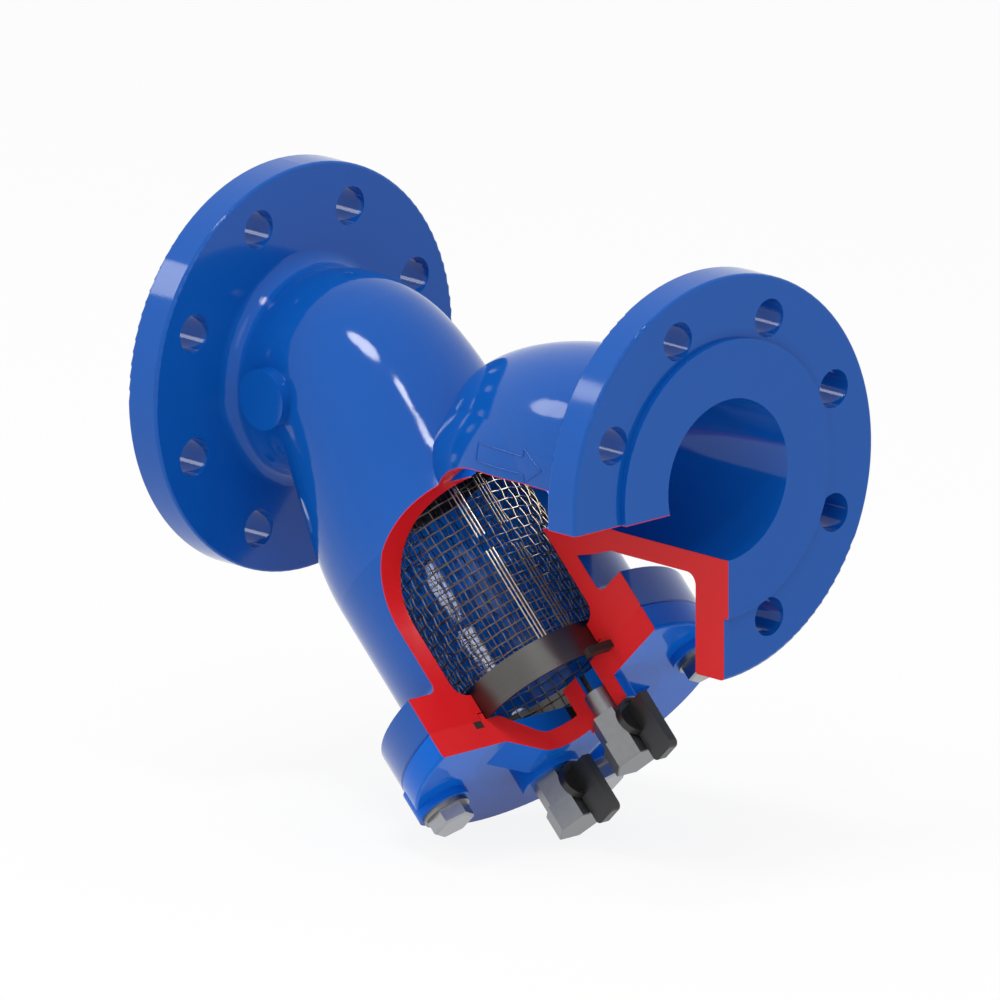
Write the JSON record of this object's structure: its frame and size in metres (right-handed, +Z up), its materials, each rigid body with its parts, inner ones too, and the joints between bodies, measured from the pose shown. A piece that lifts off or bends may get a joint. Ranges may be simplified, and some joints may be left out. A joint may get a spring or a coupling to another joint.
{
  "type": "flanged mesh strainer",
  "caption": "Sectioned display Y strainer with flanged ends, a mesh basket in the slanted branch, a bolted cover and small ball valves for flushing.",
  "frame": {"origin": "centre of the inlet flange's raised face, on the pipe axis", "axes": "+X along the flow from the inlet face to the outlet face, +Z up, branch pointing down towards +X and -Z, sectioned side towards -Y"},
  "size_m": [0.31, 0.2, 0.3007],
  "materials": {
    "coated_casting": "smooth blue epoxy coating on ductile iron, with the sectioned faces painted red",
    "coated_cover": "smooth blue epoxy coating on ductile iron, with the sectioned faces painted red",
    "rubber": "matt black moulded rubber",
    "bolt_steel": "zinc plated steel, slightly satin",
    "washer_steel": "zinc plated steel washer",
    "wire_cloth": "woven stainless wire",
    "stainless_ring": "rolled stainless strip, brushed round the ring",
    "stainless_strip": "thin stainless strip",
    "plated_brass": "nickel plated brass, satin",
    "seat_plastic": "white seat plastic",
    "polished_ball": "polished plated ball",
    "stem_steel": "turned stem",
    "handle_plastic": "black moulded plastic, slightly satin"
  },
  "bodies": {
    "strainer": {"body_casting": "coated_casting", "cover_casting": "coated_cover", "cover_gasket": "rubber", "cover_bolts": "bolt_steel", "bolt_washers": "washer_steel", "basket_hoops": "wire_cloth", "basket_stays": "wire_cloth", "basket_lower_ring": "stainless_ring", "basket_upper_ring": "stainless_ring", "basket_seam_strip": "stainless_strip", "upper_valve_body": "plated_brass", "upper_valve_cap": "plated_brass", "upper_valve_seats": "seat_plastic", "upper_valve_gland": "plated_brass", "lower_valve_body": "plated_brass", "lower_valve_cap": "plated_brass", "lower_valve_seats": "seat_plastic", "lower_valve_gland": "plated_brass"},
    "upper_lever": {"upper_valve_ball": "polished_ball", "upper_valve_stem": "stem_steel", "upper_valve_handle": "handle_plastic"},
    "lower_lever": {"lower_valve_ball": "polished_ball", "lower_valve_stem": "stem_steel", "lower_valve_handle": "handle_plastic"}
  },
  "joints": [
    {"name": "upper_lever_turn", "type": "hinge", "parent": "strainer", "child": "upper_lever", "pos_m": [0.23684, 0, -0.13895], "axis": [0.7071, 0, 0.7071], "range_deg": [0, 90]},
    {"name": "lower_lever_turn", "type": "hinge", "parent": "strainer", "child": "lower_lever", "pos_m": [0.19795, 0, -0.17784], "axis": [0.7071, 0, 0.7071], "range_deg": [0, 90]}
  ]
}
